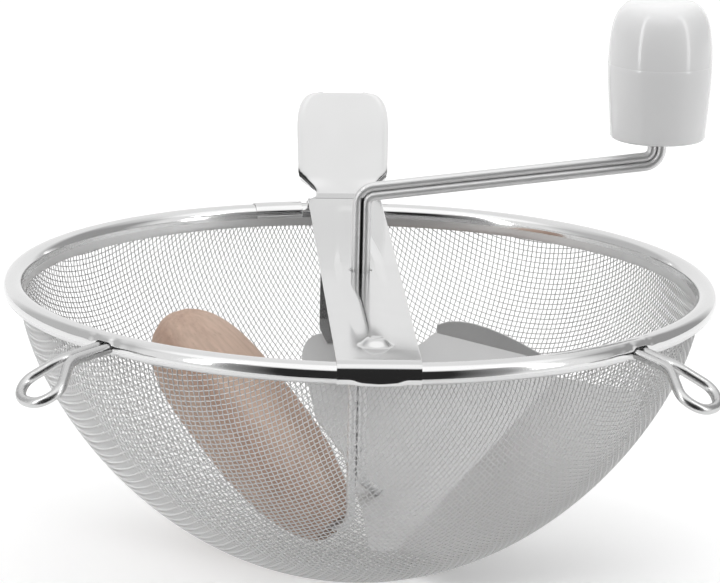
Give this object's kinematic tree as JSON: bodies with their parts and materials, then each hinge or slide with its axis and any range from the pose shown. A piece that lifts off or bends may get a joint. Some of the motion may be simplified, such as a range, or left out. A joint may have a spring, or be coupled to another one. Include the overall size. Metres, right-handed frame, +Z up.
{
  "type": "rotary straining food mill",
  "caption": "Hand-cranked food mill: woven wire bowl in a rolled rim, clip-on bridge, doubled-wire crank with a barrel knob, wooden roller and folded scraper.",
  "frame": {"origin": "on the crank's axis, level with the rim of the pot that carries the mill", "axes": "+Z up along the crank's axis, bridge along Y with its thumb tab at +Y, crank arm at rest along +X"},
  "size_m": [0.21, 0.2343, 0.1737],
  "materials": {
    "mesh": "fine woven stainless wire",
    "polished_steel": "bright polished sheet",
    "steel_wire": "bright drawn wire",
    "blade_steel": "satin sheet",
    "beech": "plain turned beech",
    "white_plastic": "glossy moulded"
  },
  "bodies": {
    "sieve": {"mesh_bowl": "mesh", "rim_bead": "polished_steel", "bead_lap": "polished_steel", "loop_left": "steel_wire", "loop_right": "steel_wire"},
    "bridge": {"bridge": "polished_steel"},
    "crank": {"crank_wire": "steel_wire", "hub_strap": "polished_steel", "scraper": "blade_steel"},
    "roller": {"roller": "beech"},
    "knob": {"knob": "white_plastic"}
  },
  "joints": [
    {"name": "bridge_tilt", "type": "hinge", "parent": "sieve", "child": "bridge", "pos_m": [0, -0.10195, 0.0061], "axis": [1, 0, 0], "range_deg": [0, 45]},
    {"name": "crank_turn", "type": "hinge", "parent": "bridge", "child": "crank", "pos_m": [0, 0, 0], "axis": [0, 0, 1], "continuous": true},
    {"name": "knob_spin", "type": "hinge", "parent": "crank", "child": "knob", "pos_m": [0.0863, 0, 0.072], "axis": [0, 0, 1], "continuous": true},
    {"name": "roller_spin", "type": "hinge", "parent": "crank", "child": "roller", "pos_m": [-0.00526, 0.00319, -0.07059], "axis": [-0.5902, 0.4953, 0.6374], "continuous": true}
  ]
}
